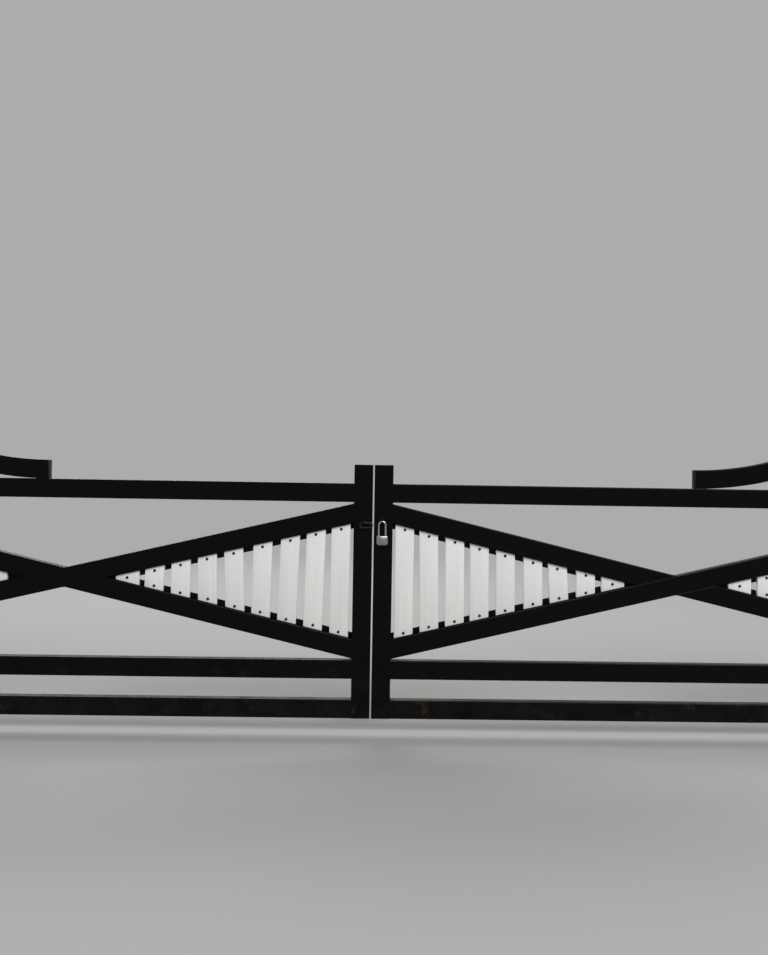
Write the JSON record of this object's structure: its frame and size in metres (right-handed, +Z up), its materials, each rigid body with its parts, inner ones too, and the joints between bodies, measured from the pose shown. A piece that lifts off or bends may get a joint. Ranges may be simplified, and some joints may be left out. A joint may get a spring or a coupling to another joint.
{
  "type": "double-leaf steel farm gate with posts",
  "caption": "Double swing gate of black rectangular tube with swan-neck leaves, crossed braces filled with white slats, hinge posts on base plates, and a padlock.",
  "frame": {"origin": "centre of the left base plate's underside, at ground level", "axes": "+X along the closed gate to the right post, +Y through the gate away from the lock side, +Z up"},
  "size_m": [7.128, 0.3, 1.9739],
  "materials": {
    "black_leaf_paint": "gloss black paint on rectangular steel tube",
    "black_posts": "gloss black paint on square steel tube",
    "black_fittings": "black paint on hinge and latch steel, worn where parts touch",
    "white_slats": "white painted boards",
    "padlock_case": "satin silver case",
    "padlock_shackle": "polished hardened shackle"
  },
  "bodies": {
    "posts": {"left_post": "black_posts", "left_post_cap": "black_posts", "left_base_plate": "black_posts", "left_upper_hinge_pin": "black_fittings", "left_lower_hinge_pin": "black_fittings", "right_post": "black_posts", "right_post_cap": "black_posts", "right_base_plate": "black_posts", "right_upper_hinge_pin": "black_fittings", "right_lower_hinge_pin": "black_fittings"},
    "left_leaf": {"left_meeting_stile": "black_leaf_paint", "left_hinge_stile": "black_leaf_paint", "left_top_rail": "black_leaf_paint", "left_lower_rail": "black_leaf_paint", "left_bottom_rail": "black_leaf_paint", "left_long_brace": "black_leaf_paint", "left_split_brace": "black_leaf_paint", "left_swan_neck": "black_leaf_paint", "left_tube_caps": "black_leaf_paint", "left_inner_slat_bars": "black_leaf_paint", "left_outer_slat_bars": "black_leaf_paint", "left_inner_slats": "white_slats", "left_outer_slats": "white_slats", "left_upper_hinge_eye": "black_fittings", "left_lower_hinge_eye": "black_fittings", "left_latch_loop": "black_fittings"},
    "right_leaf": {"right_meeting_stile": "black_leaf_paint", "right_hinge_stile": "black_leaf_paint", "right_top_rail": "black_leaf_paint", "right_lower_rail": "black_leaf_paint", "right_bottom_rail": "black_leaf_paint", "right_long_brace": "black_leaf_paint", "right_split_brace": "black_leaf_paint", "right_swan_neck": "black_leaf_paint", "right_tube_caps": "black_leaf_paint", "right_inner_slat_bars": "black_leaf_paint", "right_outer_slat_bars": "black_leaf_paint", "right_inner_slats": "white_slats", "right_outer_slats": "white_slats", "right_upper_hinge_eye": "black_fittings", "right_lower_hinge_eye": "black_fittings", "right_lock_eye": "black_fittings", "padlock_body": "padlock_case", "padlock_shackle": "padlock_shackle"}
  },
  "joints": [
    {"name": "left_leaf_hinge", "type": "hinge", "parent": "posts", "child": "left_leaf", "pos_m": [0.125, 0, 0.9], "axis": [0, 0, 1], "range_deg": [-90, 90]},
    {"name": "right_leaf_hinge", "type": "hinge", "parent": "posts", "child": "right_leaf", "pos_m": [6.703, 0, 0.9], "axis": [0, 0, -1], "range_deg": [-90, 90]}
  ]
}
